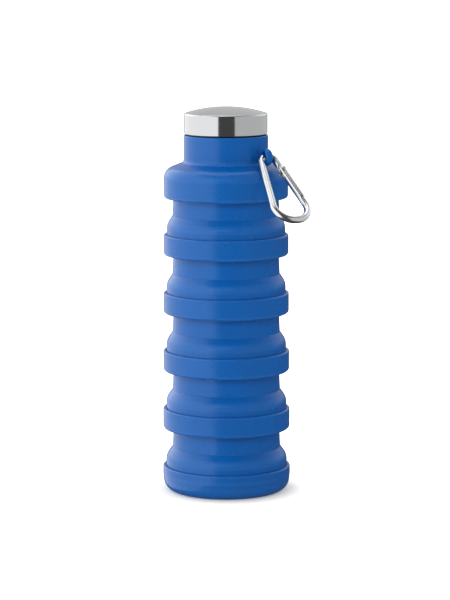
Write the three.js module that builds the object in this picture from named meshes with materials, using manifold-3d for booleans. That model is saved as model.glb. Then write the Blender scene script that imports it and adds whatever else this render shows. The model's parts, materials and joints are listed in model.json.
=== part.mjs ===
// Folding water bottle: a silicone body that shortens in five telescoping folds, a screw cap with a steel shell,
// and a snap carabiner hung in a moulded lug. Millimetres, +Z up, origin at the centre of the base.
import * as THREE from 'three';
import { mergeVertices } from 'three/addons/utils/BufferGeometryUtils.js';
import Module from 'manifold-3d';

// ---------------------------------------------------------------- driving dimensions
const GAP = 0.3;                   // left between pieces that meet
const TURN_STEPS = 32;             // flats round a full turn

// silicone body
const BASE_R = 37.25;               // outer radius of the base cup
const CUFF_R_STEP = 0.25;           // each cuff is this much smaller than the one below it
const FOLD_COUNT = 5;
const FOLD_TRAVEL = 21.0;          // how far one fold closes
const BASE_FOOT = 2.2;             // the base cup is this much taller than a cuff
const BASE_LEDGE = 1.4;            // and its ledge this much higher above its cuff line than a band's
const BASE_EDGE_R = 8.0;
const FLOOR_WALL = 2.5;
const CUFF_HEIGHT = 12.7;
const CUFF_WALL = 1.8;
const CUFF_EDGE_R = 1.0;
const WEB_WALL = 1.6;              // the ring that joins a cuff to the sleeve below it
const SLEEVE_INSET = 7.4;          // the lowest sleeve's bore lies this far inside the base cup's outer radius
const SLEEVE_R_STEP = 0.12;        // each sleeve is this much smaller than the one below it
const SLEEVE_TOP_WALL = 1.2;
const SLEEVE_FOOT_WALL = 1.7;
const FOLDED_CLEAR = 1.1;          // a folded sleeve's foot stops this far above the web below it
const FOLD_WALL = 1.2;
const FLARE_DROP = 4.9;            // height over which a fold wall widens from sleeve to cuff
const FLARE_R = 8.0;

// shoulder and neck
const SHOULDER_HEIGHT = 16.1;      // cuff line to the corner where the cone begins
const SHOULDER_CORNER_R = 6.5;
const CONE_HEIGHT = 4.6;
const NECK_R = 24.4;
const NECK_HEIGHT = 15.5;
const NECK_WALL = 2.1;

// neck insert and cap; their radii follow one another inwards from the neck
const CAP_STEP = 0.4;              // neck to the cap's side
const FLANGE_STEP = 0.5;           // cap's side to the flange's edge
const STEEL = 0.6;
const LINER_WALL = 1.05;
const SPOUT_WALL = 2.9;
const FLANGE_HEIGHT = 0.6;
const COLLAR_DEPTH = 15.0;         // how far the collar reaches down inside the silicone neck
const SPOUT_HEIGHT = 7.7;
const THREAD_DEPTH = 1.2;
const THREAD_PITCH = 4.0;
const THREAD_FOOT = 1.8;           // axial width of the ridge at its foot
const THREAD_CREST = 1.0;
const THREAD_TURNS = 1.0;
const THREAD_PLAY = 0.45;
const THREAD_SINK = 0.6;           // how far a ridge is let into its wall
const GASKET_HEIGHT = 1.3;
const LINER_TOP_WALL = 1.4;
const CAP_HEADROOM = 0.9;          // top of the liner to the rim of the dome
const CAP_DOME = 3.8;
const DOME_STEPS = 6;

// lug and carabiner
const LUG_AZIMUTH = 50.7;          // degrees from -Y towards +X
const LUG_TWIST = 27.0;            // degrees from +X to the axis of the lug's hole
const LUG_REACH = 5.4;            // neck wall to the centre of the hole
const LUG_RAISE = 4.15;             // top of the cone to the centre of the hole
const LUG_R = 5.0;
const LUG_HOLE_R = 3.0;
const LUG_WALL = 3.4;
const LUG_ROUND = 0.8;
const ROD_R = 1.9;
const CLIP_LENGTH = 48.9;          // between the centre lines of its two ends
const CLIP_TOP_WIDTH = 8.4;
const CLIP_FOOT_WIDTH = 24.6;
const CLIP_TOP_R = 4.0;
const CLIP_FOOT_R = 10.0;
const HINGE_DEPTH = 11.0;          // end of the frame to the gate's rivet
const NOSE_REACH = 15.26;          // the gate's free end to the far end of its side
const GATE_R = 2.3;
const GATE_OFFSET = 0.4;           // the gate stands this far outside the rod's centre line
const GATE_BORE_R = 1.2;
const TONGUE_WALL = 1.6;           // flattened end of the rod that the gate straddles
const TONGUE_LENGTH = 3.6;
const RIVET_R = 0.8;
const RIVET_HEAD_R = 1.5;
const RIVET_HEAD = 0.5;
const SPRING_R = 0.75;
const SPRING_WIRE_R = 0.2;
const SPRING_TURNS = 6;
const SPRING_LENGTH = 9.0;
const CUT_PAST = 1.0;              // a cut runs this far past the face it opens
const LEAN_STEP = 0.25;            // degrees

// ---------------------------------------------------------------- derived places
const BASE_HEIGHT = CUFF_HEIGHT + BASE_FOOT;
const PITCH = CUFF_HEIGHT + FOLD_TRAVEL + GAP;
const SLEEVE_DROP = CUFF_HEIGHT + GAP - WEB_WALL - FOLDED_CLEAR;
const cuffR = (i) => BASE_R - CUFF_R_STEP * i;
const cuffTop = (i) => BASE_HEIGHT + PITCH * i;
const cuffFoot = (i) => cuffTop(i) - CUFF_HEIGHT;
const sleeveFoot = (i) => cuffFoot(i) - SLEEVE_DROP;
const sleeveBoreR = (i) => BASE_R - SLEEVE_INSET - SLEEVE_R_STEP * (i - 1);
const sleeveFootR = (i) => sleeveBoreR(i) + SLEEVE_FOOT_WALL;

const SHOULDER_R = cuffR(FOLD_COUNT);
const SHOULDER_Z = cuffFoot(FOLD_COUNT);
const CONE_Z = SHOULDER_Z + SHOULDER_HEIGHT;
const NECK_Z = CONE_Z + CONE_HEIGHT;
const NECK_TOP = NECK_Z + NECK_HEIGHT;
const FLANGE_Z = NECK_TOP + GAP;
const SPOUT_Z = FLANGE_Z + FLANGE_HEIGHT;
const SPOUT_TOP = SPOUT_Z + SPOUT_HEIGHT;
const CAP_Z = SPOUT_Z + GAP;
const GASKET_Z = SPOUT_TOP + GAP;
const LINER_ROOF = GASKET_Z + GASKET_HEIGHT + GAP;
const RIM_Z = LINER_ROOF + LINER_TOP_WALL + CAP_HEADROOM;

const CAP_R = NECK_R - CAP_STEP;
const FLANGE_R = CAP_R - FLANGE_STEP;
const LINER_R = CAP_R - STEEL - GAP;
const LINER_ROOT_R = LINER_R - LINER_WALL;
const THREAD_ROOT_R = LINER_ROOT_R - THREAD_PLAY - THREAD_DEPTH;
const MOUTH_R = THREAD_ROOT_R - SPOUT_WALL;

// ---------------------------------------------------------------- materials
const finish = (color, roughness, metalness) => new THREE.MeshStandardMaterial({ color, roughness, metalness });
const SILICONE = finish(0x0055a5, 0.75, 0);
const STEEL_FINISH = finish(0xb9bbbd, 0.3, 1);
const ALUMINIUM = finish(0xd2d4d6, 0.22, 1);
const DARK_PLASTIC = finish(0x1c1f24, 0.5, 0);
const PALE_PLASTIC = finish(0xd8dade, 0.5, 0);
const CLEAR_RUBBER = finish(0xe9ebec, 0.6, 0);

// ---------------------------------------------------------------- helpers
const bottle = new THREE.Group();

function place(parent, name, geometry, material) {
  const mesh = new THREE.Mesh(geometry, material);
  mesh.name = name;
  parent.add(mesh);
  return mesh;
}

// A line through the corners [x, y, radius]. A corner with a radius becomes an arc that touches both its sides.
function rounded(corners) {
  const line = [];
  corners.forEach(([x, y, radius = 0], i) => {
    const corner = new THREE.Vector2(x, y);
    const before = corners[i - 1];
    const after = corners[i + 1];
    if (!radius || !before || !after) {
      line.push(corner);
      return;
    }
    const back = new THREE.Vector2(before[0], before[1]).sub(corner).normalize();
    const ahead = new THREE.Vector2(after[0], after[1]).sub(corner).normalize();
    const half = Math.acos(THREE.MathUtils.clamp(back.dot(ahead), -1, 1)) / 2;
    const reach = radius / Math.tan(half);
    const centre = back.clone().add(ahead).normalize().multiplyScalar(radius / Math.sin(half)).add(corner);
    const start = back.clone().multiplyScalar(reach).add(corner).sub(centre);
    const turn = Math.PI - 2 * half;
    const side = Math.sign(back.cross(ahead));
    const steps = Math.max(2, Math.ceil(turn / THREE.MathUtils.degToRad(30)));
    for (let k = 0; k <= steps; k += 1) {
      line.push(start.clone().rotateAround(new THREE.Vector2(), -side * turn * k / steps).add(centre));
    }
  });
  return line;
}

const signedArea = (line) => THREE.ShapeUtils.area(line);

// A round solid about +Z from corners [radius, height, corner radius]. The line ends on the axis, or is a closed loop.
function turned(corners) {
  const onAxis = corners[0][0] === 0;
  const line = rounded(corners);
  if (signedArea(line) < 0) line.reverse();
  if (!onAxis) line.push(line[0].clone());
  return new THREE.LatheGeometry(line, TURN_STEPS).rotateX(Math.PI / 2);
}

// ExtrudeGeometry along +Z, centred on z = 0.
function plate(shape, depth, bevel = 0) {
  const options = { depth: depth - 2 * bevel, bevelEnabled: bevel > 0, bevelSize: bevel, bevelThickness: bevel };
  return new THREE.ExtrudeGeometry(shape, { ...options, bevelOffset: -bevel, bevelSegments: 2, curveSegments: 12 })
    .translate(0, 0, bevel - depth / 2);
}

// A round bar of a radius along a curve.
function bar(curve, radius, steps, sides) {
  const section = new THREE.Shape(new THREE.EllipseCurve(0, 0, radius, radius).getPoints(sides).slice(0, sides));
  return new THREE.ExtrudeGeometry(section, { steps, extrudePath: curve });
}

// A straight line or polyline as a curve, read at even distances along it.
class Route extends THREE.Curve {
  constructor(points) {
    super();
    this.path = new THREE.CurvePath();
    points.slice(1).forEach((p, i) => this.path.add(new THREE.LineCurve3(points[i], p)));
  }

  getPoint(t) {
    return this.path.getPointAt(t);
  }
}

class Coil extends THREE.Curve {
  constructor(radius, length, turns) {
    super();
    Object.assign(this, { radius, length, turns });
  }

  getPoint(t) {
    const angle = 2 * Math.PI * this.turns * t;
    return new THREE.Vector3(this.radius * Math.cos(angle), this.radius * Math.sin(angle), this.length * t);
  }
}

const wasm = await Module();
wasm.setup();

function solid(geometry) {
  const bare = geometry.clone();
  ['normal', 'uv'].forEach((name) => bare.deleteAttribute(name));
  const merged = mergeVertices(bare, 1e-5);
  const vertProperties = new Float32Array(merged.attributes.position.array);
  const all = Array.from(merged.index.array);
  const triVerts = [];
  for (let i = 0; i < all.length; i += 3) {
    const [a, b, c] = all.slice(i, i + 3);
    if (a !== b && b !== c && c !== a) triVerts.push(a, b, c);
  }
  return new wasm.Manifold(new wasm.Mesh({ numProp: 3, vertProperties, triVerts: new Uint32Array(triVerts) }));
}

function shape(manifold) {
  const mesh = manifold.getMesh();
  const geometry = new THREE.BufferGeometry();
  geometry.setAttribute('position', new THREE.BufferAttribute(new Float32Array(mesh.vertProperties), 3));
  geometry.setIndex(new THREE.BufferAttribute(new Uint32Array(mesh.triVerts), 1));
  geometry.computeVertexNormals();
  return geometry;
}

const cylinder = (radius, height) => new THREE.CylinderGeometry(radius, radius, height, TURN_STEPS)
  .rotateX(Math.PI / 2);

// ---------------------------------------------------------------- silicone body
// The foot of a fold wall stands in the cuff below on this level.
const ledge = (i) => cuffFoot(i) + WEB_WALL + (i === 0 ? BASE_LEDGE : 0);

function baseCup() {
  const inner = BASE_R - CUFF_WALL;
  const well = inner - FOLD_WALL - GAP;
  return turned([
    [0, 0], [BASE_R, 0, BASE_EDGE_R], [BASE_R, BASE_HEIGHT, CUFF_EDGE_R], [inner, BASE_HEIGHT],
    [inner, ledge(0)], [well, ledge(0)], [well, FLOOR_WALL, ledge(0) - FLOOR_WALL], [0, FLOOR_WALL],
  ]);
}

// The sleeve's corners, from the underside of its cuff round to its bore.
const sleeve = (i) => [
  [sleeveBoreR(i) + SLEEVE_TOP_WALL, cuffFoot(i)], [sleeveFootR(i), sleeveFoot(i)], [sleeveBoreR(i), sleeveFoot(i)],
];

function band(i) {
  const inner = cuffR(i) - CUFF_WALL;
  return turned([
    [inner, cuffFoot(i) + WEB_WALL], [inner, cuffTop(i)], [cuffR(i), cuffTop(i), CUFF_EDGE_R],
    [cuffR(i), cuffFoot(i), CUFF_EDGE_R], ...sleeve(i), [sleeveBoreR(i), cuffFoot(i) + WEB_WALL],
  ]);
}

// Stands inside cuff i and closes in to the foot of the sleeve above.
function foldWall(i) {
  const outer = cuffR(i) - CUFF_WALL - GAP;
  const foot = ledge(i) + GAP;
  const mouth = sleeveFootR(i + 1);
  const top = sleeveFoot(i + 1) - GAP;
  const bend = top - FLARE_DROP;
  return turned([
    [outer, foot], [outer, bend, FLARE_R], [mouth, top], [mouth - FOLD_WALL, top],
    [outer - FOLD_WALL, bend - FOLD_WALL / 2, FLARE_R - FOLD_WALL], [outer - FOLD_WALL, foot],
  ]);
}

// Outer line of the shoulder from the neck's top down to the cuff line.
const shoulderLine = [
  [NECK_R, NECK_TOP, CUFF_EDGE_R], [NECK_R, NECK_Z, CUFF_EDGE_R], [SHOULDER_R, CONE_Z, SHOULDER_CORNER_R],
  [SHOULDER_R, SHOULDER_Z, CUFF_EDGE_R],
];

const holeAxis = new THREE.Vector3(1, 0, 0).applyAxisAngle(new THREE.Vector3(0, 0, 1),
  THREE.MathUtils.degToRad(LUG_TWIST));
const holeCentre = new THREE.Vector3(0, -(NECK_R + LUG_REACH), NECK_Z + LUG_RAISE)
  .applyAxisAngle(new THREE.Vector3(0, 0, 1), THREE.MathUtils.degToRad(LUG_AZIMUTH));

// A flat eye on the neck: round outside, with its root running back into the silicone.
function lug() {
  const root = LUG_REACH + NECK_WALL;
  const outline = new THREE.Shape();
  outline.moveTo(-root, -LUG_R);
  outline.lineTo(0, -LUG_R);
  outline.absarc(0, 0, LUG_R, -Math.PI / 2, Math.PI / 2, false);
  outline.lineTo(-root, LUG_R);
  outline.closePath();
  const hole = new THREE.Path();
  hole.absarc(0, 0, LUG_HOLE_R, 0, 2 * Math.PI, true);
  outline.holes.push(hole);
  const up = new THREE.Vector3(0, 0, 1);
  const through = holeAxis.clone().negate();
  const basis = new THREE.Matrix4().makeBasis(up.clone().cross(through), up, through);
  return plate(outline, LUG_WALL, LUG_ROUND).applyMatrix4(basis.setPosition(holeCentre));
}

function shoulderNeck() {
  const bore = NECK_R - NECK_WALL;
  const inside = SHOULDER_R - CUFF_WALL;
  const body = turned([
    [bore, NECK_TOP], ...shoulderLine, ...sleeve(FOLD_COUNT),
    [sleeveBoreR(FOLD_COUNT), SHOULDER_Z + WEB_WALL],
    [inside, SHOULDER_Z + WEB_WALL], [inside, CONE_Z - CUFF_WALL / 2, SHOULDER_CORNER_R - CUFF_WALL],
    [bore, NECK_Z - CUFF_WALL],
  ]);
  const hollow = cylinder(bore + NECK_WALL / 2, 2 * NECK_HEIGHT).translate(0, 0, NECK_TOP);
  return shape(solid(body).add(solid(lug()).subtract(solid(hollow))));
}

place(bottle, 'base_cup', baseCup(), SILICONE);
for (let i = 1; i < FOLD_COUNT; i += 1) place(bottle, `band_${FOLD_COUNT - i}`, band(i), SILICONE);
for (let i = 0; i < FOLD_COUNT; i += 1) place(bottle, `fold_wall_${FOLD_COUNT - i}`, foldWall(i), SILICONE);
place(bottle, 'shoulder_neck', shoulderNeck(), SILICONE);

// ---------------------------------------------------------------- neck insert, gasket and cap
// A screw ridge: a straight bar of the ridge's section, wound so that its length becomes turns about +Z.
function ridge(footR, crestR, startZ, startTurn) {
  const section = new THREE.Shape([
    new THREE.Vector2(footR, -THREAD_FOOT / 2), new THREE.Vector2(crestR, -THREAD_CREST / 2),
    new THREE.Vector2(crestR, THREAD_CREST / 2), new THREE.Vector2(footR, THREAD_FOOT / 2),
  ]);
  const straight = new THREE.ExtrudeGeometry(section, {
    depth: THREAD_TURNS, steps: Math.round(TURN_STEPS * THREAD_TURNS), bevelEnabled: false,
  });
  const points = straight.attributes.position;
  for (let k = 0; k < points.count; k += 1) {
    const angle = 2 * Math.PI * (points.getZ(k) + startTurn);
    const radius = points.getX(k);
    const height = startZ + points.getY(k) + THREAD_PITCH * points.getZ(k);
    points.setXYZ(k, radius * Math.cos(angle), radius * Math.sin(angle), height);
  }
  return straight;
}

function outwardFacing(geometry) {
  const indexed = mergeVertices(geometry);
  if (solid(indexed).volume() >= 0) return geometry;
  const flipped = geometry.index ? geometry.toNonIndexed() : geometry;
  const p = flipped.attributes.position;
  for (let k = 0; k < p.count; k += 3) {
    const [x, y, z] = [p.getX(k), p.getY(k), p.getZ(k)];
    p.setXYZ(k, p.getX(k + 1), p.getY(k + 1), p.getZ(k + 1));
    p.setXYZ(k + 1, x, y, z);
  }
  return flipped;
}

const RIDGE_Z = SPOUT_Z + THREAD_FOOT / 2 + GAP;

function neckInsert() {
  const collarR = NECK_R - NECK_WALL - GAP;
  const body = turned([
    [MOUTH_R, FLANGE_Z - COLLAR_DEPTH], [collarR, FLANGE_Z - COLLAR_DEPTH], [collarR, FLANGE_Z],
    [FLANGE_R, FLANGE_Z], [FLANGE_R, SPOUT_Z], [THREAD_ROOT_R, SPOUT_Z], [THREAD_ROOT_R, SPOUT_TOP],
    [MOUTH_R, SPOUT_TOP],
  ]);
  const thread = ridge(THREAD_ROOT_R - THREAD_SINK, THREAD_ROOT_R + THREAD_DEPTH, RIDGE_Z, 0);
  return shape(solid(body).add(solid(outwardFacing(thread))));
}

function capLiner() {
  const foot = CAP_Z + GAP;
  const body = turned([
    [0, LINER_ROOF], [LINER_ROOT_R, LINER_ROOF], [LINER_ROOT_R, foot], [LINER_R, foot],
    [LINER_R, LINER_ROOF], [LINER_ROOT_R, LINER_ROOF + LINER_TOP_WALL], [0, LINER_ROOF + LINER_TOP_WALL],
  ]);
  const thread = ridge(LINER_ROOT_R + THREAD_SINK, THREAD_ROOT_R + THREAD_PLAY, RIDGE_Z, 0.5);
  return shape(solid(body).add(solid(outwardFacing(thread))));
}

// The dome is an arc of a sphere that rises CAP_DOME over the cap's radius.
function domeArc(radius, rimZ, rise) {
  const ballR = (radius * radius + rise * rise) / (2 * rise);
  return Array.from({ length: DOME_STEPS }, (_, k) => {
    const r = radius * k / DOME_STEPS;
    return [r, rimZ + rise - ballR + Math.sqrt(ballR * ballR - r * r)];
  });
}

function capShell() {
  const inner = CAP_R - STEEL;
  return turned([
    ...domeArc(CAP_R, RIM_Z, CAP_DOME), [CAP_R, RIM_Z], [CAP_R, CAP_Z], [inner, CAP_Z],
    [inner, RIM_Z - STEEL / 2], ...domeArc(inner, RIM_Z - STEEL / 2, CAP_DOME - STEEL / 2).reverse(),
  ]);
}

const gasketOuter = THREAD_ROOT_R + THREAD_PLAY - GAP;
place(bottle, 'neck_insert', neckInsert(), DARK_PLASTIC);
place(bottle, 'cap_gasket', turned([
  [MOUTH_R, GASKET_Z], [gasketOuter, GASKET_Z], [gasketOuter, GASKET_Z + GASKET_HEIGHT],
  [MOUTH_R, GASKET_Z + GASKET_HEIGHT],
]), CLEAR_RUBBER);
place(bottle, 'cap_liner', capLiner(), PALE_PLASTIC);
place(bottle, 'cap_shell', capShell(), STEEL_FINISH);

// ---------------------------------------------------------------- carabiner
// Drawn flat: x across the frame, y from the end that hangs in the lug towards the wide end, z through it.
const clipTopLeft = -CLIP_TOP_WIDTH / 2;
const clipTopRight = CLIP_TOP_WIDTH / 2;
const clipFootLeft = -CLIP_FOOT_WIDTH / 2;
const clipFootRight = CLIP_FOOT_WIDTH / 2;
const gateSide = (y) => THREE.MathUtils.lerp(clipTopRight, clipFootRight, y / CLIP_LENGTH);
const rivet = new THREE.Vector2(gateSide(HINGE_DEPTH), HINGE_DEPTH);
const gateAlong = new THREE.Vector2(clipFootRight - clipTopRight, CLIP_LENGTH).normalize();
const gateTurn = -Math.atan2(gateAlong.x, gateAlong.y);
const gateLength = Math.hypot(clipFootRight - clipTopRight, CLIP_LENGTH) * (1 - HINGE_DEPTH / CLIP_LENGTH)
  - NOSE_REACH;
const tongueStart = rivet.clone().addScaledVector(gateAlong, -TONGUE_LENGTH);
const nose = rivet.clone().addScaledVector(gateAlong, gateLength + GAP);

const frameLine = rounded([
  [tongueStart.x, tongueStart.y], [clipTopRight, 0, CLIP_TOP_R], [clipTopLeft, 0, CLIP_TOP_R],
  [clipFootLeft, CLIP_LENGTH, CLIP_FOOT_R], [clipFootRight, CLIP_LENGTH, CLIP_FOOT_R], [nose.x, nose.y],
]).map((p) => new THREE.Vector3(p.x, p.y, 0));
const FRAME_STEPS = 60;
const frameCurve = new Route(frameLine);

// Turns a piece drawn about the rivet, with +Y along the gate, into its place in the frame.
const onRivet = (geometry) => geometry.rotateZ(gateTurn).translate(rivet.x, rivet.y, 0);

function clipFrame() {
  const rod = bar(frameCurve, ROD_R, FRAME_STEPS, 10);
  const tongue = new THREE.Shape();
  tongue.moveTo(-ROD_R, -TONGUE_LENGTH - ROD_R);
  tongue.lineTo(ROD_R, -TONGUE_LENGTH - ROD_R);
  tongue.absarc(0, 0, ROD_R, 0, Math.PI, false);
  tongue.closePath();
  const eye = new THREE.Path();
  eye.absarc(0, 0, RIVET_R + GAP, 0, 2 * Math.PI, true);
  tongue.holes.push(eye);
  return shape(solid(outwardFacing(rod)).add(solid(onRivet(plate(tongue, TONGUE_WALL)))));
}

function gate() {
  const heel = TONGUE_LENGTH - GAP - ROD_R / 2;
  const tube = new THREE.CylinderGeometry(GATE_R, GATE_R, gateLength + heel, 12)
    .translate(GATE_OFFSET, (gateLength - heel) / 2, 0);
  const slotLength = heel + ROD_R + 2 * GAP + CUT_PAST;
  const slot = new THREE.BoxGeometry(2 * (GATE_R + CUT_PAST), slotLength, TONGUE_WALL + 2 * GAP)
    .translate(0, ROD_R + 2 * GAP - slotLength / 2, 0);
  const bore = new THREE.CylinderGeometry(GATE_BORE_R, GATE_BORE_R, SPRING_LENGTH + 2 * GAP, 12)
    .translate(GATE_OFFSET, ROD_R + GAP + SPRING_LENGTH / 2 + GAP, 0);
  const pinHole = cylinder(RIVET_R + GAP, 4 * GATE_R);
  return shape([slot, bore, pinHole].reduce((rest, cut) => rest.subtract(solid(onRivet(cut))),
    solid(onRivet(tube))));
}

// A pin with a head on each end, clear of the gate's cheeks.
function rivetPin() {
  const reach = GATE_R + GAP;
  return turned([
    [0, -reach - RIVET_HEAD], [RIVET_HEAD_R, -reach - RIVET_HEAD], [RIVET_HEAD_R, -reach], [RIVET_R, -reach],
    [RIVET_R, reach], [RIVET_HEAD_R, reach], [RIVET_HEAD_R, reach + RIVET_HEAD], [0, reach + RIVET_HEAD],
  ]);
}

const clipBasis = (lean) => {
  const downOut = new THREE.Vector3(0, 0, -1).applyAxisAngle(holeAxis, -THREE.MathUtils.degToRad(lean));
  return new THREE.Matrix4().makeBasis(holeAxis, downOut, holeAxis.clone().cross(downOut)).setPosition(holeCentre);
};

// The least distance from the rod to the shoulder with the carabiner leaning out by an angle in degrees.
function shoulderClearance(lean) {
  const wall = rounded(shoulderLine);
  const along = new THREE.Line3();
  const nearest = new THREE.Vector3();
  const distances = frameCurve.getSpacedPoints(2 * FRAME_STEPS).flatMap((p) => {
    const world = p.applyMatrix4(clipBasis(lean));
    const flat = new THREE.Vector3(Math.hypot(world.x, world.y), world.z, 0);
    return wall.slice(1).map((q, k) => {
      along.set(new THREE.Vector3(wall[k].x, wall[k].y, 0), new THREE.Vector3(q.x, q.y, 0));
      return along.closestPointToPoint(flat, true, nearest).distanceTo(flat);
    });
  });
  return Math.min(...distances) - ROD_R;
}

// It hangs down until the rod is GAP away from the shoulder.
let restLean = 90;
while (restLean > 0 && shoulderClearance(restLean - LEAN_STEP) > GAP) restLean -= LEAN_STEP;

const carabiner = new THREE.Group();
carabiner.applyMatrix4(clipBasis(restLean));
bottle.add(carabiner);

place(carabiner, 'carabiner_body', clipFrame(), ALUMINIUM);
place(carabiner, 'carabiner_gate', gate(), ALUMINIUM);
place(carabiner, 'gate_rivet', onRivet(rivetPin()), ALUMINIUM);
const spring = bar(new Coil(SPRING_R, SPRING_LENGTH, SPRING_TURNS), SPRING_WIRE_R, SPRING_TURNS * 8, 5);
place(carabiner, 'gate_spring', onRivet(outwardFacing(spring).rotateX(-Math.PI / 2)
  .translate(GATE_OFFSET, ROD_R + 2 * GAP, 0)), STEEL_FINISH);

bottle.updateMatrixWorld(true);

export default bottle;
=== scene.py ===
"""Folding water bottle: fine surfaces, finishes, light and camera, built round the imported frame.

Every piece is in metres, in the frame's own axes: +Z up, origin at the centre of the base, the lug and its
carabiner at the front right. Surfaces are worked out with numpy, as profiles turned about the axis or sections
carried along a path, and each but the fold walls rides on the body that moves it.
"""
from __future__ import annotations

import json
import logging
import math
from dataclasses import dataclass, field
from enum import Enum

import bpy
import numpy as np
from mathutils import Matrix, Quaternion, Vector

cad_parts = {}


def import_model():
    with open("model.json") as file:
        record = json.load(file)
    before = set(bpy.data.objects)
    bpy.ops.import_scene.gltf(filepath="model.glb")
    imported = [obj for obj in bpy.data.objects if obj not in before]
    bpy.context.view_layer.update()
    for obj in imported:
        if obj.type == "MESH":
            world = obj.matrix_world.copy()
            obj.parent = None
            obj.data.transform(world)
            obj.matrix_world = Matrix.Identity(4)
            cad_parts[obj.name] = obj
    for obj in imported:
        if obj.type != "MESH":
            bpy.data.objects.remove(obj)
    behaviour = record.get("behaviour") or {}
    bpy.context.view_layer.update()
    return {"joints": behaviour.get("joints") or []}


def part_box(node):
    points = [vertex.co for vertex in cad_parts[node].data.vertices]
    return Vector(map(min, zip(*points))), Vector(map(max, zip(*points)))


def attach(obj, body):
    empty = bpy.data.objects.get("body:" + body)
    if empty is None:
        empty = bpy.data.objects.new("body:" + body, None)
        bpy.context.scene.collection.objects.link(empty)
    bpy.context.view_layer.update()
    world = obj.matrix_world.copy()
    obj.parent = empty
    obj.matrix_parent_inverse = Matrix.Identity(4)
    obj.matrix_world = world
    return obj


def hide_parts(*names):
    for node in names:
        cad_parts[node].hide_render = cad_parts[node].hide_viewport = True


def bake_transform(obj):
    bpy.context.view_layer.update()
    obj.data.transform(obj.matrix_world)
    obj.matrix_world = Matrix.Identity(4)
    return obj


LOG = logging.getLogger("bottle")
MM = 0.001
X_AXIS, Y_AXIS, Z_AXIS = np.eye(3)
Corner = tuple[float, ...]
Colour = tuple[float, float, float, float]
Socket = bpy.types.NodeSocket


# -------------------- surfaces
def rounded(corners: list[Corner], step: float = math.radians(11), support: float = 0.25 * MM) -> np.ndarray:
    """Draw a line through corners, turning each corner that has a radius into an arc.

    The arc touches both sides of its corner: its centre lies on the bisector at radius / sin(half angle). One
    extra point just before and after each arc keeps the flat beside it flat when it is shaded smooth.

    Args:
        corners: Points as (x, y) or (x, y, radius), in metres.
        step: Largest angle between two points of an arc.
        support: Distance of the extra points from the arc.

    Returns:
        The line's points, one (x, y, roundness) per row, where roundness is 1 on an arc and 0 elsewhere.
    """
    line: list[tuple[float, float, float]] = []
    for i, corner in enumerate(corners):
        at = np.array(corner[:2])
        radius = corner[2] if len(corner) > 2 else 0.0
        if radius <= 0 or i in (0, len(corners) - 1):
            line.append((*at, 0.0))
            continue
        back = np.array(corners[i - 1][:2]) - at
        ahead = np.array(corners[i + 1][:2]) - at
        back_length, ahead_length = np.linalg.norm(back), np.linalg.norm(ahead)
        back, ahead = back / back_length, ahead / ahead_length
        half = math.acos(np.clip(back @ ahead, -1, 1)) / 2
        reach = radius / math.tan(half)
        middle = (back + ahead) / np.linalg.norm(back + ahead)
        centre = at + middle * radius / math.sin(half)
        count = max(2, math.ceil((math.pi - 2 * half) / step)) + 1
        first = math.atan2(*(at + back * reach - centre)[::-1])
        last = math.atan2(*(at + ahead * reach - centre)[::-1])
        turn = (last - first + math.pi) % (2 * math.pi) - math.pi
        angles = first + turn * np.linspace(0, 1, count)
        if reach + support < 0.5 * back_length:
            line.append((*(at + back * (reach + support)), 0.0))
        line.extend((*(centre + radius * np.array([math.cos(a), math.sin(a)])), 1.0) for a in angles)
        if reach + support < 0.5 * ahead_length:
            line.append((*(at + ahead * (reach + support)), 0.0))
    return np.array(line)


def refined(line: np.ndarray, longest: float) -> np.ndarray:
    """Split a line's long steps evenly, so that none is longer than a limit.

    Args:
        line: Points, one per row. The first two columns are the place, the rest are carried along.
        longest: Longest step allowed, in metres.

    Returns:
        The refined line, with the same columns.
    """
    steps = np.linalg.norm(np.diff(line[:, :2], axis=0), axis=1)
    counts = np.maximum(1, np.ceil(steps / longest).astype(int))
    starts = np.repeat(np.arange(len(steps)), counts)
    shares = np.concatenate([np.arange(n) / n for n in counts])
    inner = line[starts] + shares[:, None] * (line[starts + 1] - line[starts])
    return np.vstack([inner, line[-1:]])


def linked(name: str, data: bpy.types.ID) -> bpy.types.Object:
    """An object of a mesh, a light or a camera, linked to the scene."""
    made = bpy.data.objects.new(name, data)
    bpy.context.scene.collection.objects.link(made)
    return made


def signed_volume(points: np.ndarray, triangles: np.ndarray) -> float:
    """Six times the volume inside a closed mesh is the sum of a . (b x c) over its triangles."""
    a, b, c = (points[triangles[:, k]] for k in range(3))
    return float((a * np.cross(b, c)).sum() / 6)


def grid_faces(rows: int, columns: int, wrap_rows: bool) -> np.ndarray:
    """Quads of a grid whose columns close round on themselves: each point with its three next neighbours.

    Args:
        rows: Number of rows.
        columns: Number of columns.
        wrap_rows: Whether the last row joins the first.

    Returns:
        (m, 4) indices into the points in row order.
    """
    index = np.arange(rows * columns).reshape(rows, columns)
    below = np.roll(index, -1, axis=0) if wrap_rows else index[1:]
    here = index if wrap_rows else index[:-1]
    quads = [here, np.roll(here, -1, axis=1), np.roll(below, -1, axis=1), below]
    return np.stack([q.reshape(-1) for q in quads], axis=1)


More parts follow.
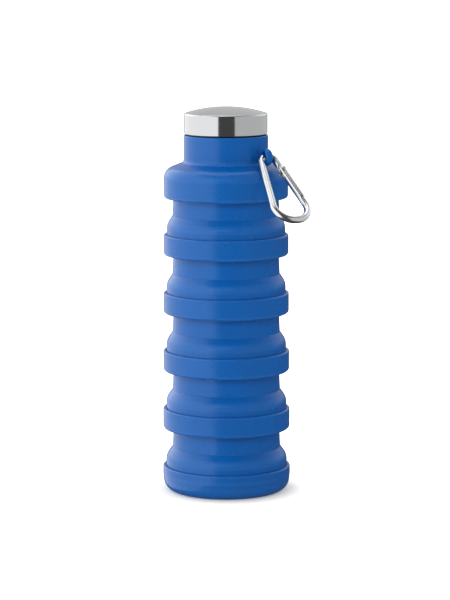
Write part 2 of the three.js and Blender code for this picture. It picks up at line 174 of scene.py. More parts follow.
def mesh_object(name: str, points: np.ndarray, quads: np.ndarray, triangles: np.ndarray,
                masks: dict[str, np.ndarray] | None = None) -> bpy.types.Object:
    """Make an object from arrays, with its faces turned outwards.

    Args:
        name: The piece's name.
        points: (n, 3) places in the frame, in metres.
        quads: (m, 4) indices.
        triangles: (k, 3) indices.
        masks: Named values, one for each point, kept as attributes.

    Returns:
        The object, linked to the scene and shaded smooth up to real corners.
    """
    halves = np.vstack([quads[:, [0, 1, 2]], quads[:, [0, 2, 3]], triangles])
    if signed_volume(points, halves) < 0:
        quads, triangles = quads[:, ::-1], triangles[:, ::-1]
    mesh = bpy.data.meshes.new(name)
    mesh.from_pydata(points.tolist(), [], quads.tolist() + triangles.tolist())
    for label, values in (masks or {}).items():
        mesh.attributes.new(label, "FLOAT", "POINT").data.foreach_set("value", values.astype(np.float32))
    mesh.shade_smooth()
    mesh.set_sharp_from_angle(angle=math.radians(40))
    mesh.update()
    return linked(name, mesh)


def closed_grid(name: str, grid: np.ndarray, wrap_rows: bool,
                masks: dict[str, np.ndarray] | None = None) -> bpy.types.Object:
    """Close a grid of points into one body.

    Rows that don't wrap end in a fan to the middle of the first and the last row, which closes a pole of a
    turned shape and the end of a rod alike.

    Args:
        name: The piece's name.
        grid: (rows, columns, 3) points. Columns always close round.
        wrap_rows: Whether the last row joins the first.
        masks: Named values, one for each row.

    Returns:
        The object.
    """
    rows, columns = grid.shape[:2]
    points = grid.reshape(-1, 3)
    quads = grid_faces(rows, columns, wrap_rows)
    triangles = np.zeros((0, 3), int)
    row_of_point = np.repeat(np.arange(rows), columns)
    if not wrap_rows:
        ring = np.arange(columns)
        after = np.roll(ring, -1)
        last = (rows - 1) * columns
        triangles = np.vstack([
            np.stack([np.full(columns, rows * columns), after, ring], axis=1),
            np.stack([np.full(columns, rows * columns + 1), last + ring, last + after], axis=1),
        ])
        points = np.vstack([points, grid[0].mean(axis=0), grid[-1].mean(axis=0)])
        row_of_point = np.append(row_of_point, [0, rows - 1])
    spread = {label: values[row_of_point] for label, values in (masks or {}).items()}
    return mesh_object(name, points, quads, triangles, spread)


@dataclass(frozen=True)
class PartingLine:
    """The thin raised line that a two-part mould leaves on a turned surface.

    Attributes:
        azimuth: Angle of the line from -Y towards +X, in radians. A second line stands opposite.
        height: How far it stands proud.
        width: Its half width.
    """

    azimuth: float = math.radians(52.1)
    height: float = 0.11 * MM
    width: float = 0.28 * MM

    def angles(self, radius: float, steps: int) -> np.ndarray:
        """Angles round the axis, even all round and close together near the two lines.

        Args:
            radius: Radius at which the lines' width is measured.
            steps: Number of even angles.

        Returns:
            The angles in order, in radians.
        """
        even = np.linspace(0, 2 * math.pi, steps, endpoint=False)
        near = self.azimuth - math.pi / 2 + np.linspace(-3, 3, 11) * self.width / radius
        return np.unique(np.round(np.concatenate([even, near, near + math.pi]) % (2 * math.pi), 7))

    def rise(self, angles: np.ndarray, radius: float) -> np.ndarray:
        """Height above the surface: a bell curve of the distance to the nearer line, measured round it."""
        offset = (angles - self.azimuth + math.pi) % math.pi - math.pi / 2
        return self.height * np.exp(-((offset * radius / self.width) ** 2))


def turned(name: str, line: np.ndarray, steps: int = 160, seam: PartingLine | None = None) -> bpy.types.Object:
    """Turn a profile about +Z: a point (r, z) becomes (r cos a, r sin a, z) at each angle a.

    Args:
        name: The piece's name.
        line: (radius, height, roundness) rows. It starts and ends on the axis, or is a closed loop.
        steps: Columns round the axis.
        seam: The parting line to raise on the outside, if any.

    Returns:
        The object, with the profile's roundness kept as the attribute "edge".
    """
    on_axis = line[0, 0] < 1e-9
    rows = line[1:-1] if on_axis else line
    widest = rows[:, 0].max()
    angles = seam.angles(widest, steps) if seam else np.linspace(0, 2 * math.pi, steps, endpoint=False)
    radius = np.repeat(rows[:, :1], len(angles), axis=1)
    if seam:
        outside = np.clip((rows[:, :1] - 0.6 * widest) / (0.1 * widest), 0, 1)
        radius = radius + outside * seam.rise(angles, widest)[None, :]
    height = np.repeat(rows[:, 1:2], len(angles), axis=1)
    grid = np.stack([radius * np.cos(angles), radius * np.sin(angles), height], axis=2)
    made = closed_grid(name, grid, not on_axis, {"edge": rows[:, 2]})
    if on_axis:
        low_pole, high_pole = list(made.data.vertices)[-2:]
        low_pole.co, high_pole.co = (0, 0, line[0, 1]), (0, 0, line[-1, 1])
    return made


def swept(name: str, path: np.ndarray, sides: np.ndarray, ups: np.ndarray, section: np.ndarray,
          scale: np.ndarray | None = None, slant: np.ndarray | None = None) -> bpy.types.Object:
    """Carry a section along a path: point = path + scale_x * x * side + scale_y * y * up at each step.

    A slant moves a step's points along the path by slant * x, which turns a square end into an oblique one.

    Args:
        name: The piece's name.
        path: (n, 3) centre line.
        sides: Unit vectors of the section's x: (n, 3), or one for all.
        ups: Unit vectors of the section's y: (n, 3), or one for all.
        section: (m, 2) outline, closed on itself.
        scale: (n, 2) factors on the section's x and y along the path.
        slant: (n,) shares of x by which a point moves along the path.

    Returns:
        The object, closed at both ends.
    """
    sides, ups = np.broadcast_to(sides, path.shape), np.broadcast_to(ups, path.shape)
    scale = np.ones((len(path), 2)) if scale is None else scale
    slant = np.zeros(len(path)) if slant is None else slant
    wide = scale[:, None, 0:1] * section[None, :, 0:1]
    high = scale[:, None, 1:2] * section[None, :, 1:2]
    ahead = np.cross(ups, sides)
    grid = (path[:, None, :] + wide * sides[:, None, :] + high * ups[:, None, :]
            + slant[:, None, None] * wide * ahead[:, None, :])
    return closed_grid(name, grid, False)


def circle(radius: float, count: int) -> np.ndarray:
    """A circle's outline as (count, 2) points."""
    angles = np.linspace(0, 2 * math.pi, count, endpoint=False)
    return radius * np.stack([np.cos(angles), np.sin(angles)], axis=1)


def around(angles: np.ndarray) -> np.ndarray:
    """Unit vectors (cos a, sin a, 0), one for each angle."""
    return np.stack([np.cos(angles), np.sin(angles), np.zeros_like(angles)], axis=1)


def placed(piece: bpy.types.Object, place: Matrix) -> bpy.types.Object:
    """Move a piece's mesh by a matrix, with its object left at the origin."""
    piece.data.transform(place)
    return piece


def ridge(name: str, radius: float, start: float, pitch: float, section: np.ndarray,
          first: float = 0.0) -> bpy.types.Object:
    """Wind a section into one turn of a screw ridge about +Z, rising by the pitch.

    At angle a the section stands at (radius, start + pitch * a / 2 pi); over the first and last eighth of a
    turn it shrinks to nothing, as a moulded thread runs out.

    Args:
        name: The piece's name.
        radius: Radius of the section's own origin.
        start: Height of the first end.
        pitch: Rise in one turn.
        section: (m, 2) outline: x outwards, y along the axis.
        first: Turn at which it starts.

    Returns:
        The object.
    """
    share = np.linspace(0, 1, 120)
    angle = 2 * math.pi * (first + share)
    out = around(angle)
    path = radius * out
    path[:, 2] = start + pitch * share
    ends = np.clip(np.minimum(share, 1 - share) / 0.125, 0.05, 1)
    fade = np.sin(ends * math.pi / 2)
    return swept(name, path, out, Z_AXIS, section, np.stack([fade, np.maximum(fade, 0.4)], axis=1))


def settled(piece: bpy.types.Object) -> bpy.types.Object:
    """Apply a piece's modifiers, so that its mesh is final.

    Args:
        piece: The piece.

    Returns:
        The same piece.
    """
    graph = bpy.context.evaluated_depsgraph_get()
    graph.update()
    final = bpy.data.meshes.new_from_object(piece.evaluated_get(graph), depsgraph=graph)
    piece.modifiers.clear()
    piece.data = final
    return piece


def combined(piece: bpy.types.Object, others: list[bpy.types.Object], operation: str) -> bpy.types.Object:
    """Join others to a piece, or cut them from it, and remove them.

    Args:
        piece: The piece that stays.
        others: Closed meshes.
        operation: "UNION" or "DIFFERENCE".

    Returns:
        The piece, with its mesh final.
    """
    for other in others:
        step = piece.modifiers.new(operation.lower(), "BOOLEAN")
        step.operation, step.object, step.solver = operation, other, "EXACT"
    settled(piece)
    for other in others:
        bpy.data.objects.remove(other)
    return piece


def softened(piece: bpy.types.Object, width: float) -> None:
    """Round a piece's sharp edges with a bevel.

    Args:
        piece: The piece.
        width: Width of the bevel, in metres.
    """
    bevel = piece.modifiers.new("edges", "BEVEL")
    bevel.width, bevel.segments, bevel.limit_method = width, 2, "ANGLE"
    bevel.angle_limit = math.radians(35)
    settled(piece)
    piece.data.shade_smooth()
    piece.data.set_sharp_from_angle(angle=math.radians(45))


# -------------------- finishes
class Nodes:
    """A thin hand on a node tree: it adds nodes and links them by name."""

    def __init__(self, tree: bpy.types.NodeTree) -> None:
        """Start from an empty tree."""
        self.tree = tree
        tree.nodes.clear()

    def add(self, kind: str, inputs: dict | None = None, **settings: object) -> bpy.types.Node:
        """Add a node.

        Args:
            kind: Its type without the ShaderNode prefix, or a full type name for group nodes.
            inputs: Values or sockets for its inputs, by name or number.
            **settings: Its own properties.

        Returns:
            The node.
        """
        node = self.tree.nodes.new(kind if kind.startswith("Node") else "ShaderNode" + kind)
        for label, value in settings.items():
            setattr(node, label, value)
        for label, value in (inputs or {}).items():
            if isinstance(value, Socket):
                self.tree.links.new(value, node.inputs[label])
            else:
                node.inputs[label].default_value = value
        return node

    def math(self, operation: str, a: object, b: object = 0.0, c: object = 0.0) -> Socket:
        """Add a Math node and return its value."""
        return self.add("Math", {0: a, 1: b, 2: c}, operation=operation).outputs[0]

    def mix(self, share: object, a: object, b: object) -> Socket:
        """Mix two colours by a share and return the colour."""
        return self.add("Mix", {0: share, 6: a, 7: b}, data_type="RGBA").outputs[2]

    def noise(self, vector: Socket, scale: float, detail: float = 2.0, roughness: float = 0.5) -> Socket:
        """Add a noise texture on a vector and return its value, about 0.5 on average."""
        sizes = {"Vector": vector, "Scale": scale, "Detail": detail, "Roughness": roughness}
        return self.add("TexNoise", sizes).outputs["Fac"]

    def ramp(self, value: Socket, low: float, high: float) -> Socket:
        """Stretch a value so that low becomes 0 and high becomes 1, and clamp it."""
        node = self.add("MapRange", {"Value": value, "From Min": low, "From Max": high}, clamp=True)
        return node.outputs["Result"]


def shader_group(name: str, label: str, size: float, *outputs: str) -> tuple[Nodes, Socket, Socket]:
    """Start a shader node group that works on a vector and one size.

    Args:
        name: The group's name.
        label: The name of its size.
        size: The size's default.
        *outputs: The names of the values that it puts out.

    Returns:
        A hand on its nodes, and the sockets of the vector and the size.
    """
    group = bpy.data.node_groups.new(name, "ShaderNodeTree")
    group.interface.new_socket("Vector", in_out="INPUT", socket_type="NodeSocketVector")
    group.interface.new_socket(label, in_out="INPUT", socket_type="NodeSocketFloat").default_value = size
    for output in outputs:
        group.interface.new_socket(output, in_out="OUTPUT", socket_type="NodeSocketFloat")
    nodes = Nodes(group)
    given = nodes.add("NodeGroupInput").outputs
    return nodes, given["Vector"], given[label]


class Effects:
    """Shader groups that more than one finish uses, each built once."""

    def __init__(self) -> None:
        """Build the groups."""
        self.grain = self._grain()
        self.turned_lines = self._turned_lines()
        self.handling = self._handling()

    @staticmethod
    def _grain() -> bpy.types.NodeTree:
        """Fine eroded mould texture: two sizes of noise, as a height about 0.5.

        Returns:
            The group.
        """
        nodes, vector, size = shader_group("mould_grain", "Grain size", 0.2 * MM, "Height")
        scale = nodes.math("DIVIDE", 1.0, size)
        point = nodes.add("VectorMath", {0: vector, "Scale": scale}, operation="SCALE").outputs[0]
        fine = nodes.math("MULTIPLY", nodes.noise(point, 1.0, 3.0, 0.6), 0.6)
        coarse = nodes.math("MULTIPLY", nodes.noise(point, 0.23), 0.4)
        nodes.add("NodeGroupOutput", {"Height": nodes.math("ADD", fine, coarse)})
        return nodes.tree

    @staticmethod
    def _turned_lines() -> bpy.types.NodeTree:
        """Brushing round the Z axis: noise of (radius, height), stretched a long way round the axis.

        Returns:
            The group.
        """
        nodes, vector, size = shader_group("brushed_round", "Line size", 0.1 * MM, "Lines", "Bands")
        x, y, z = nodes.add("SeparateXYZ", {0: vector}).outputs
        square = nodes.math("ADD", nodes.math("MULTIPLY", x, x), nodes.math("MULTIPLY", y, y))
        radius = nodes.math("SQRT", square)
        turn = nodes.math("MULTIPLY", nodes.math("ARCTAN2", y, x), 0.9)
        across, along = nodes.math("DIVIDE", radius, size), nodes.math("DIVIDE", z, size)
        point = nodes.add("CombineXYZ", {0: across, 1: along, 2: turn}).outputs[0]
        nodes.add("NodeGroupOutput", {"Lines": nodes.noise(point, 1.0, 4.0, 0.75),
                                      "Bands": nodes.noise(point, 0.12)})
        return nodes.tree

    @staticmethod
    def _handling() -> bpy.types.NodeTree:
        """Faint marks of use: large soft patches and sparse specks, each a value from 0 to 1.

        Returns:
            The group.
        """
        nodes, vector, size = shader_group("handling", "Speck size", 0.4 * MM, "Patches", "Specks")
        patches = nodes.ramp(nodes.noise(vector, 38.0, 3.0, 0.55), 0.35, 0.68)
        cells = nodes.add("TexVoronoi", {"Vector": vector, "Scale": nodes.math("DIVIDE", 1.0, size)})
        sparse = nodes.ramp(nodes.noise(vector, 420.0, 1.0), 0.66, 0.72)
        near = nodes.ramp(cells.outputs["Distance"], 0.28, 0.12)
        nodes.add("NodeGroupOutput", {"Patches": patches, "Specks": nodes.math("MULTIPLY", near, sparse)})
        return nodes.tree


def linear(red: int, green: int, blue: int) -> Colour:
    """A display colour of 0 to 255 as scene-linear red, green, blue and alpha."""
    shares = np.array([red, green, blue]) / 255
    values = np.where(shares <= 0.04045, shares / 12.92, ((shares + 0.055) / 1.055) ** 2.4)
    return (*values.tolist(), 1.0)


def node_material(name: str) -> tuple[bpy.types.Material, Nodes]:
    """A new material and a hand on its nodes."""
    material = bpy.data.materials.new(name)
    material.use_nodes = True
    return material, Nodes(material.node_tree)


@dataclass(frozen=True)
class Finish:
    """What every finish has: its names, a roughness, a colour, and a shader on Object coordinates.

    Attributes:
        name: The material's name.
        slot: The record's material slot. Not used.
        roughness: Middle roughness.
        colour: Scene-linear base colour.
    """

    name: str
    slot: str
    roughness: float
    colour: Colour

    def build(self, effects: Effects) -> bpy.types.Material:
        """Make the material.

        Args:
            effects: The shared shader groups.

        Returns:
            The material.
        """
        material, nodes = node_material(self.name)
        place = nodes.add("TexCoord").outputs["Object"]
        shader = nodes.add("BsdfPrincipled", self.sockets(nodes, place, effects))
        nodes.add("OutputMaterial", {"Surface": shader.outputs[0]})
        return material

    def sockets(self, nodes: Nodes, place: Socket, effects: Effects) -> dict[str, object]:
        """What goes into the shader's inputs. Each kind of finish has its own.

        Args:
            nodes: A hand on the material's nodes.
            place: Object coordinates.
            effects: The shared shader groups.

        Returns:
            Values and sockets by the shader's own input names.
        """
        raise NotImplementedError

    def shaded(self, share: float) -> Colour:
        """The finish's colour, darker by a share."""
        return (*(share * value for value in self.colour[:3]), 1.0)

    @staticmethod
    def effect(nodes: Nodes, tree: bpy.types.NodeTree, place: Socket, size: float) -> bpy.types.NodeOutputs:
        """Place one of the shared groups, with its size, and return what it puts out."""
        return nodes.add("Group", {0: place, 1: size}, node_tree=tree).outputs

    @staticmethod
    def relief(nodes: Nodes, height: Socket, distance: float, strength: float = 1.0) -> Socket:
        """Add a Bump node and return its normal."""
        return nodes.add("Bump", {"Strength": strength, "Distance": distance, "Height": height}).outputs[0]


@dataclass(frozen=True)
class Moulded(Finish):
    """Moulded silicone or plastic: a grained skin, faint patches, pale dust, and rounded edges lightened partly
    by wear and partly as a painted highlight.

    Attributes:
        worn_and_highlight: The pale colour that dust specks and rounded edges move towards; on the edges it is
            partly wear and partly a painted highlight.
        grain: Size of the mould grain.
        grain_height: Height of the grain.
        edge_wear_and_highlight: Share of the pale colour on rounded edges, partly wear and partly a painted
            highlight.
        dust: Share of the worn colour on specks.
        tint: Colour of what is mirrored straight on. At grazing angles it stays white.
    """

    worn_and_highlight: Colour
    grain: float = 0.22 * MM
    grain_height: float = 0.006 * MM
    edge_wear_and_highlight: float = 0.1
    dust: float = 0.12
    tint: Colour = (1.0, 1.0, 1.0, 1.0)

    def sockets(self, nodes: Nodes, place: Socket, effects: Effects) -> dict[str, object]:
        """Colour, roughness and relief come from the grain, the patches and the edge mask.

        Args:
            nodes: A hand on the material's nodes.
            place: Object coordinates.
            effects: The shared shader groups.

        Returns:
            Values and sockets by the shader's own input names.
        """
        grain = self.effect(nodes, effects.grain, place, self.grain)[0]
        patches, specks = self.effect(nodes, effects.handling, place, 0.5 * MM)
        edge = nodes.add("Attribute", attribute_name="edge").outputs["Fac"]
        base = nodes.mix(patches, self.colour, self.shaded(0.93))
        # Painted highlight: rounded edges are lightened towards the pale colour, partly as wear and partly to
        # stand in for the light that their fillets catch.
        rubbed_and_highlit_edge = nodes.math("MULTIPLY", edge, nodes.math("MULTIPLY", grain, 2 * self.edge_wear_and_highlight))
        pale = nodes.math("MAXIMUM", rubbed_and_highlit_edge, nodes.math("MULTIPLY", specks, self.dust))
        rough = nodes.math("MULTIPLY_ADD", patches, 0.05, self.roughness - 0.04)
        return {"Base Color": nodes.mix(pale, base, self.worn_and_highlight), "Specular Tint": self.tint,
                "Roughness": nodes.math("MULTIPLY_ADD", grain, 0.06, rough),
                "Normal": self.relief(nodes, grain, self.grain_height)}


@dataclass(frozen=True)
class TurnedSteel(Finish):
    """Steel brushed round the Z axis: long fine lines, with a stretched gloss across them.

    Attributes:
        line: Width of a brushed line.
        anisotropy: How far the gloss is stretched.
    """

    line: float = 0.12 * MM
    anisotropy: float = 0.7

    def sockets(self, nodes: Nodes, place: Socket, effects: Effects) -> dict[str, object]:
        """Colour, roughness and relief come from the brushed lines.

        Args:
            nodes: A hand on the material's nodes.
            place: Object coordinates.
            effects: The shared shader groups.

        Returns:
            Values and sockets by the shader's own input names.
        """
        lines, bands = self.effect(nodes, effects.turned_lines, place, self.line)
        patches = self.effect(nodes, effects.handling, place, 0.3 * MM)[0]
        dark = nodes.math("MULTIPLY", nodes.ramp(lines, 0.75, 0.3), 0.55)
        rough = nodes.math("MULTIPLY_ADD", bands, 0.08, self.roughness - 0.04)
        tangent = nodes.add("Tangent", direction_type="RADIAL", axis="Z").outputs[0]
        return {"Base Color": nodes.mix(dark, self.colour, self.shaded(0.8)), "Metallic": 1.0,
                "Roughness": nodes.math("MULTIPLY_ADD", patches, 0.03, rough),
                "Normal": self.relief(nodes, lines, 0.0015 * MM), "Tangent": tangent,
                "Anisotropic": self.anisotropy, "Anisotropic Rotation": 0.25}


@dataclass(frozen=True)
class PolishedMetal(Finish):
    """Polished or drawn metal with hairline scratches and a faint haze where it is handled.

    Attributes:
        scratch: Length of a scratch.
    """

    scratch: float = 2.0 * MM

    def sockets(self, nodes: Nodes, place: Socket, effects: Effects) -> dict[str, object]:
        """Colour, roughness and relief come from the scratches and the haze.

        Args:
            nodes: A hand on the material's nodes.
            place: Object coordinates.
            effects: The shared shader groups.

        Returns:
            Values and sockets by the shader's own input names.
        """
        patches = self.effect(nodes, effects.handling, place, 0.25 * MM)[0]
        long, fine = 1 / self.scratch, 9 / self.scratch
        stretched = nodes.add("Mapping", {"Vector": place, "Scale": (long, fine, long)}).outputs[0]
        hair = nodes.ramp(nodes.noise(stretched, 1.0, 5.0, 0.7), 0.56, 0.6)
        haze = nodes.math("MULTIPLY", patches, 0.6)
        rough = nodes.math("MULTIPLY_ADD", patches, 0.08, self.roughness)
        return {"Base Color": nodes.mix(haze, self.colour, self.shaded(0.86)), "Metallic": 1.0,
                "Roughness": nodes.math("MULTIPLY_ADD", hair, 0.05, rough),
                "Normal": self.relief(nodes, hair, 0.002 * MM, 0.6)}


class Look(Enum):
    """The finishes of the bottle's materials."""

    # Silicone's rounded edges are lightened a little: partly wear, partly a painted highlight.
    SILICONE = Moulded("blue_silicone", "silicone", 0.27, linear(0, 90, 172), linear(110, 155, 215),
                       edge_wear_and_highlight=0.05, tint=(0.75, 0.93, 1.0, 1.0))
    INSERT = Moulded("dark_plastic", "insert_plastic", 0.4, linear(26, 30, 38), linear(90, 96, 104),
                     grain=0.3 * MM)
    LINER = Moulded("pale_plastic", "liner_plastic", 0.38, linear(216, 218, 222), linear(240, 240, 240),
                    grain=0.3 * MM)
    GASKET = Moulded("clear_rubber", "gasket_rubber", 0.35, linear(222, 226, 230), linear(250, 250, 250),
                     dust=0.05)
    CAP = TurnedSteel("brushed_steel", "cap_steel", 0.13, linear(205, 207, 208))
    CLIP = PolishedMetal("polished_aluminium", "carabiner_metal", 0.13, linear(226, 227, 228))
    SPRING = PolishedMetal("spring_wire", "spring_wire", 0.22, linear(150, 150, 152))


class Workshop:
    """Builds the finishes once, knows the frame's joints and puts pieces on their bodies."""

    def __init__(self, joints: list[dict]) -> None:
        """Make every finish.

        Args:
            joints: The frame's joints.
        """
        effects = Effects()
        self.joints = {found["name"]: found for found in joints}
        self.metal: tuple[bpy.types.Object, ...] = ()
        self.materials = {look: look.value.build(effects) for look in Look}

    def joint(self, name: str) -> tuple[Vector, Vector]:
        """A joint's place and axis."""
        return Vector(self.joints[name]["pos_m"]), Vector(self.joints[name]["axis"])

    def fit(self, piece: bpy.types.Object, look: Look, *nodes: str) -> bpy.types.Object:
        """Give a piece its finish and hide the CAD nodes that it stands for.

        Args:
            piece: The finished mesh.
            look: Its finish.
            *nodes: The CAD nodes that it replaces.

        Returns:
            The piece.
        """
        piece.data.materials.clear()
        piece.data.materials.append(self.materials[look])
        if look in (Look.CAP, Look.CLIP):
            self.metal += (piece,)
        if nodes:
            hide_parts(*nodes)
        LOG.info("%s: %d faces, %s", piece.name, len(piece.data.polygons), look.value.name)
        return piece

    def mount(self, piece: bpy.types.Object, body: str, look: Look, *nodes: str) -> None:
        """Fit a piece and let it ride on a body."""
        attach(self.fit(piece, look, *nodes), body)


# -------------------- silicone body
@dataclass(frozen=True)
class Walls:
    """Sizes that the silicone rings share, in metres. Level 1 is the lowest sleeve, level 5 the shoulder's.

    Attributes:
        base_radius: Outer radius of the base cup.
        cuff_height: Height of a cuff.
        cuff: Wall of a cuff.
        web: Wall of the ring between cuff and sleeve.
        sleeve_inset: Base radius to the lowest sleeve's bore.
        sleeve_step: How much smaller each sleeve is than the one below.
        sleeve_top: Sleeve wall under its cuff.
        sleeve_foot: Sleeve wall at its foot.
        fold: Wall of a fold wall.
        travel: How far one fold closes.
        gap: Clearance that the frame leaves between its pieces.
        outer_edge: Rounding of the outside edges.
        inner_edge: Rounding of the inside edges.
        foot_edge: Rounding of a cuff's lower outside edge.
        sleeve_edge: Rounding of a sleeve's foot.
    """

    base_radius: float = 37.25 * MM
    cuff_height: float = 12.1 * MM
    cuff: float = 1.8 * MM
    web: float = 1.6 * MM
    sleeve_inset: float = 7.4 * MM
    sleeve_step: float = 0.12 * MM
    sleeve_top: float = 1.2 * MM
    sleeve_foot: float = 1.7 * MM
    fold: float = 1.2 * MM
    travel: float = 21.0 * MM
    gap: float = 0.3 * MM
    outer_edge: float = 0.9 * MM
    inner_edge: float = 0.45 * MM
    foot_edge: float = 1.7 * MM
    sleeve_edge: float = 0.14 * MM

    def bore(self, level: int) -> float:
        """Bore radius of the sleeve at a level."""
        return self.base_radius - self.sleeve_inset - self.sleeve_step * (level - 1)

    def sleeve(self, level: int, foot: float, cuff_foot: float) -> list[Corner]:
        """A sleeve's corners.

        Args:
            level: Its level.
            foot: Height of its lower end.
            cuff_foot: Height of the underside of its cuff.

        Returns:
            The corners from the underside of the cuff, round the sleeve's foot, to its bore.
        """
        bore = self.bore(level)
        return [
            (bore + self.sleeve_top, cuff_foot, self.inner_edge),
            (bore + self.sleeve_foot, foot, self.sleeve_edge),
            (bore, foot, self.sleeve_edge),
        ]


@dataclass
class FoldingBody:
    """The silicone body: base cup, four bands, the shoulder and the five fold walls between them.

    Attributes:
        shop: The workshop.
        walls: Shared sizes.
        seam: The mould's parting line.
        folds: How many folds there are. Fold 1 is under the shoulder.
        base_edge: Rounding under the base cup.
        lean_edge: Rounding where its side stops leaning.
        well_edge: Rounding round its floor, inside.
        lean_in: How far its side leans in towards the bottom.
        lean_height: Height from which it does.
        floor: Its floor.
        flare_drop: Height over which a fold wall widens.
        flare_radius: Rounding where it turns upright.
        snug: How much closer to the cuff the soft wall stands than the frame's stiff one.
        roll_start: Where a fold wall begins to bend, under the lip of its cuff. Not used.
        roll_end: Where it is done bending, under the sleeve's foot. Not used.
    """

    shop: Workshop
    walls: Walls = field(default_factory=Walls)
    seam: PartingLine = field(default_factory=PartingLine)
    folds: int = 5
    base_edge: float = 6.8 * MM
    lean_edge: float = 14.0 * MM
    well_edge: float = 2.0 * MM
    lean_in: float = 1.3 * MM
    lean_height: float = 10.0 * MM
    floor: float = 2.5 * MM
    flare_drop: float = 4.9 * MM
    flare_radius: float = 8.0 * MM
    snug: float = 0.25 * MM
    roll_start: float = 1.5 * MM
    roll_end: float = 1.0 * MM

    def build(self) -> None:
        """Make every silicone piece."""
        self.base_cup()
        for number in range(1, self.folds):
            self.band(number)
        for number in range(1, self.folds + 1):
            self.fold_wall(number)
        Shoulder(self.shop, self.walls, self.seam, self.folds).build()

    def base_cup(self) -> None:
        """The cup that the bottle stands on, with the ledge for the lowest fold wall."""
        w = self.walls
        low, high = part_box("base_cup")
        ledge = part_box(f"fold_wall_{self.folds}")[0].z - w.gap
        inner = high.x - w.cuff
        well = inner - w.fold - w.gap
        line = rounded([
            (0, low.z), (high.x - self.lean_in, low.z, self.base_edge),
            (high.x, low.z + self.lean_height, self.lean_edge), (high.x, high.z, w.outer_edge),
            (inner, high.z, w.inner_edge), (inner, ledge, w.inner_edge), (well, ledge, w.inner_edge),
            (well, low.z + self.floor, self.well_edge), (0, low.z + self.floor),
        ])
        cup = turned("base_cup_skin", refined(line, 4 * MM), seam=self.seam)
        self.shop.mount(cup, "base", Look.SILICONE, "base_cup")

    def band(self, number: int) -> None:
        """A stiff cuff with its web and the sleeve that hangs from it.

        Args:
            number: 1 for the band under the shoulder, counting down.
        """
        w = self.walls
        name = f"band_{number}"
        level = self.folds - number
        low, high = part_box(name)
        foot = high.z - w.cuff_height
        inner = high.x - w.cuff
        middle = (w.bore(level), (low.z + foot) / 2)
        line = rounded([
            middle, (w.bore(level), foot + w.web, w.inner_edge), (inner, foot + w.web, w.inner_edge),
            (inner, high.z, w.inner_edge), (high.x, high.z, w.outer_edge), (high.x, foot, w.foot_edge),
            *w.sleeve(level, low.z, foot), middle,
        ])
        ring = turned(name + "_skin", refined(line, 3 * MM)[:-1], seam=self.seam)
        self.shop.mount(ring, name, Look.SILICONE, name)

    def fold_wall(self, number: int) -> None:
        """The thin wall that rolls over as its fold closes.

        Here it is turned as one fixed shape, flaring up to the sleeve's foot above,
        and it rides on no body, so nothing here makes it bend or roll.

        Args:
            number: 1 for the wall under the shoulder, counting down.
        """
        w = self.walls
        name = f"fold_wall_{number}"
        low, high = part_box(name)
        top = high.z + w.gap
        outer = high.x + self.snug
        inner = outer - w.fold
        bend = high.z - self.flare_drop
        mouth = w.bore(self.folds + 1 - number) + w.sleeve_foot
        middle = (inner, (low.z + bend) / 2)
        line = rounded([
            middle, (inner, low.z, w.inner_edge), (outer, low.z, w.inner_edge),
            (outer, bend, self.flare_radius), (mouth, top, w.sleeve_edge),
            (mouth - w.fold, top, w.sleeve_edge), (inner, bend - w.fold / 2, self.flare_radius - w.fold), middle,
        ])
        wall = turned(name + "_skin", refined(line, 0.45 * MM)[:-1], seam=self.seam)
        self.shop.fit(wall, Look.SILICONE, name)
        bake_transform(wall)


